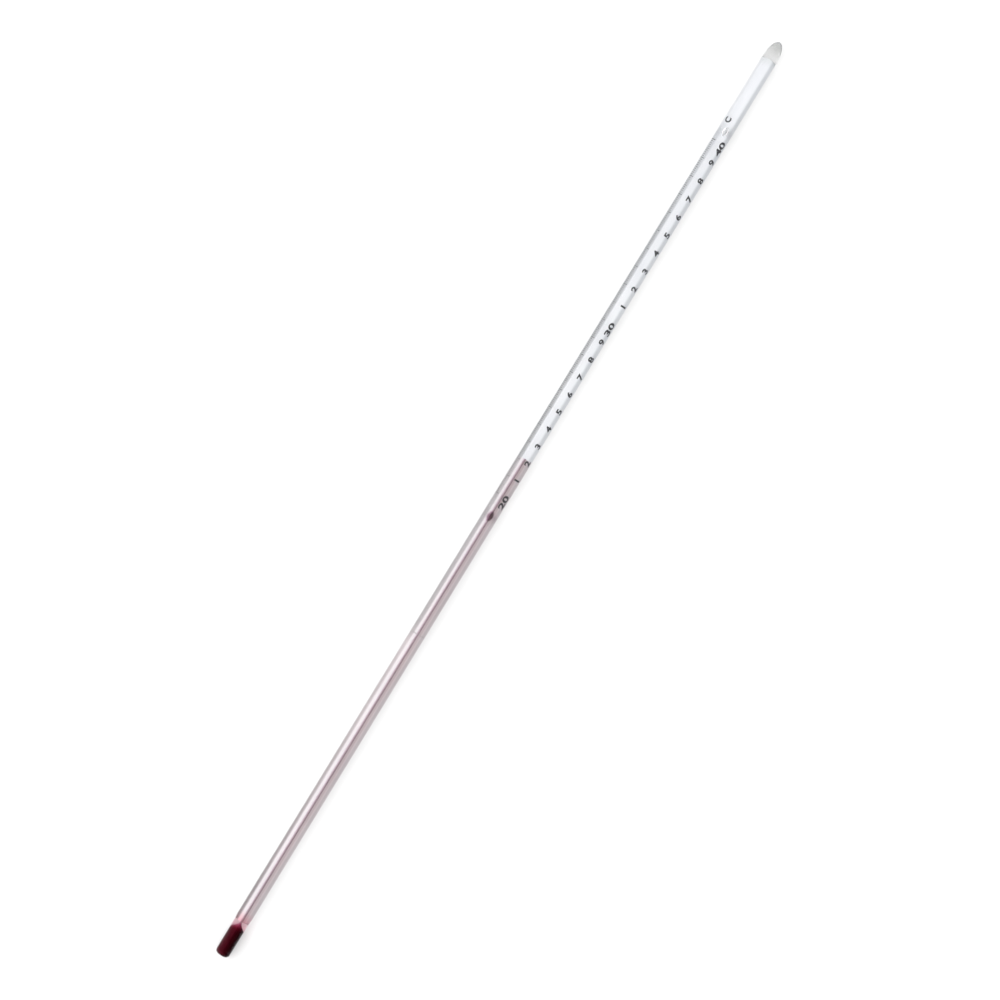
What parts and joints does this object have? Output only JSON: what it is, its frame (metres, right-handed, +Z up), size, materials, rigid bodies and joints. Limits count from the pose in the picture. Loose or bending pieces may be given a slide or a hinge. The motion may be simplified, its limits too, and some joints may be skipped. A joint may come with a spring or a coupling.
{
  "type": "darkroom thermometer",
  "caption": "Slim solid-stem glass thermometer with a flat back, a small round bulb of red spirit, a white-backed bore and a fired black degree scale.",
  "frame": {"origin": "centre of the bounding box's bottom: midway along the length, on the surface that the flat back rests on", "axes": "+X from the bulb to the tip, +Z up out of the front of the stem, +Y to the side that carries the degree lines"},
  "size_m": [0.305, 0.0046, 0.0046],
  "materials": {
    "clear_glass": "polished, clear",
    "white_glass": "opaque white glass strip",
    "red_spirit": "dark red liquid",
    "black_enamel": "fired enamel, satin"
  },
  "bodies": {
    "thermometer": {"stem_glass": "clear_glass", "bulb_glass": "clear_glass", "white_strip": "white_glass", "bulb_spirit": "red_spirit", "lower_thread": "red_spirit", "upper_thread": "red_spirit", "immersion_line": "black_enamel", "degree_line_20": "black_enamel", "degree_line_21": "black_enamel", "degree_line_22": "black_enamel", "degree_line_23": "black_enamel", "degree_line_24": "black_enamel", "degree_line_25": "black_enamel", "degree_line_26": "black_enamel", "degree_line_27": "black_enamel", "degree_line_28": "black_enamel", "degree_line_29": "black_enamel", "degree_line_30": "black_enamel", "degree_line_31": "black_enamel", "degree_line_32": "black_enamel", "degree_line_33": "black_enamel", "degree_line_34": "black_enamel", "degree_line_35": "black_enamel", "degree_line_36": "black_enamel", "degree_line_37": "black_enamel", "degree_line_38": "black_enamel", "degree_line_39": "black_enamel", "degree_line_40": "black_enamel"},
    "thread_end": {"thread_end": "red_spirit"}
  },
  "joints": [
    {"name": "thread_rise", "type": "slide", "parent": "thermometer", "child": "thread_end", "axis": [1, 0, 0], "range_m": [-0.01225, 0.10585], "deforming": ["upper_thread"]}
  ]
}
